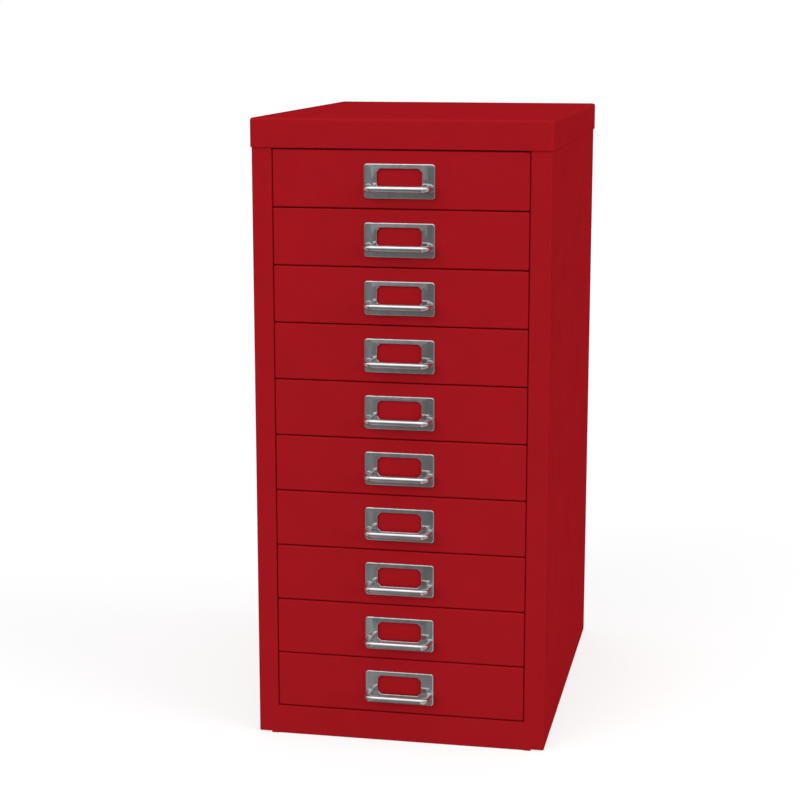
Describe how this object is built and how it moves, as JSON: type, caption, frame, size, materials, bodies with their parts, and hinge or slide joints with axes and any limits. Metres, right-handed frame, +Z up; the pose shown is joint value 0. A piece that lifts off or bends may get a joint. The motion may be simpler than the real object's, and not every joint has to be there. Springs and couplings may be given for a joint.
{
  "type": "multi-drawer cabinet",
  "caption": "Free-standing steel cabinet for A4 paper with a stack of equal shallow drawers, a lipped top and chrome label-holder pulls.",
  "frame": {"origin": "on the floor under the middle of the cabinet body", "axes": "+Z up; the drawer fronts face -Y and the drawers slide out along -Y; +X to the right seen from the front"},
  "size_m": [0.279, 0.3997, 0.59],
  "materials": {
    "red_powder_coat": "satin",
    "handle_chrome": "polished",
    "zinc_plated_steel": "satin",
    "buffer_rubber": "matte"
  },
  "bodies": {
    "cabinet": {"left_side_panel": "red_powder_coat", "right_side_panel": "red_powder_coat", "back_panel": "red_powder_coat", "top_cap": "red_powder_coat", "base_pan": "red_powder_coat", "plinth_rail": "red_powder_coat", "top_rail": "red_powder_coat", "left_runner_rack": "zinc_plated_steel", "right_runner_rack": "zinc_plated_steel", "left_runners": "zinc_plated_steel", "right_runners": "zinc_plated_steel", "rear_buffers": "buffer_rubber"},
    "drawer_01": {"drawer_01_tray": "red_powder_coat", "drawer_01_front": "red_powder_coat", "drawer_01_label_plate": "handle_chrome", "drawer_01_pull_bar": "handle_chrome"},
    "drawer_02": {"drawer_02_tray": "red_powder_coat", "drawer_02_front": "red_powder_coat", "drawer_02_label_plate": "handle_chrome", "drawer_02_pull_bar": "handle_chrome"},
    "drawer_03": {"drawer_03_tray": "red_powder_coat", "drawer_03_front": "red_powder_coat", "drawer_03_label_plate": "handle_chrome", "drawer_03_pull_bar": "handle_chrome"},
    "drawer_04": {"drawer_04_tray": "red_powder_coat", "drawer_04_front": "red_powder_coat", "drawer_04_label_plate": "handle_chrome", "drawer_04_pull_bar": "handle_chrome"},
    "drawer_05": {"drawer_05_tray": "red_powder_coat", "drawer_05_front": "red_powder_coat", "drawer_05_label_plate": "handle_chrome", "drawer_05_pull_bar": "handle_chrome"},
    "drawer_06": {"drawer_06_tray": "red_powder_coat", "drawer_06_front": "red_powder_coat", "drawer_06_label_plate": "handle_chrome", "drawer_06_pull_bar": "handle_chrome"},
    "drawer_07": {"drawer_07_tray": "red_powder_coat", "drawer_07_front": "red_powder_coat", "drawer_07_label_plate": "handle_chrome", "drawer_07_pull_bar": "handle_chrome"},
    "drawer_08": {"drawer_08_tray": "red_powder_coat", "drawer_08_front": "red_powder_coat", "drawer_08_label_plate": "handle_chrome", "drawer_08_pull_bar": "handle_chrome"},
    "drawer_09": {"drawer_09_tray": "red_powder_coat", "drawer_09_front": "red_powder_coat", "drawer_09_label_plate": "handle_chrome", "drawer_09_pull_bar": "handle_chrome"},
    "drawer_10": {"drawer_10_tray": "red_powder_coat", "drawer_10_front": "red_powder_coat", "drawer_10_label_plate": "handle_chrome", "drawer_10_pull_bar": "handle_chrome"}
  },
  "joints": [
    {"name": "drawer_01_slide", "type": "slide", "parent": "cabinet", "child": "drawer_01", "axis": [0, -1, 0], "range_m": [0, 0.3]},
    {"name": "drawer_02_slide", "type": "slide", "parent": "cabinet", "child": "drawer_02", "axis": [0, -1, 0], "range_m": [0, 0.3]},
    {"name": "drawer_03_slide", "type": "slide", "parent": "cabinet", "child": "drawer_03", "axis": [0, -1, 0], "range_m": [0, 0.3]},
    {"name": "drawer_04_slide", "type": "slide", "parent": "cabinet", "child": "drawer_04", "axis": [0, -1, 0], "range_m": [0, 0.3]},
    {"name": "drawer_05_slide", "type": "slide", "parent": "cabinet", "child": "drawer_05", "axis": [0, -1, 0], "range_m": [0, 0.3]},
    {"name": "drawer_06_slide", "type": "slide", "parent": "cabinet", "child": "drawer_06", "axis": [0, -1, 0], "range_m": [0, 0.3]},
    {"name": "drawer_07_slide", "type": "slide", "parent": "cabinet", "child": "drawer_07", "axis": [0, -1, 0], "range_m": [0, 0.3]},
    {"name": "drawer_08_slide", "type": "slide", "parent": "cabinet", "child": "drawer_08", "axis": [0, -1, 0], "range_m": [0, 0.3]},
    {"name": "drawer_09_slide", "type": "slide", "parent": "cabinet", "child": "drawer_09", "axis": [0, -1, 0], "range_m": [0, 0.3]},
    {"name": "drawer_10_slide", "type": "slide", "parent": "cabinet", "child": "drawer_10", "axis": [0, -1, 0], "range_m": [0, 0.3]}
  ]
}
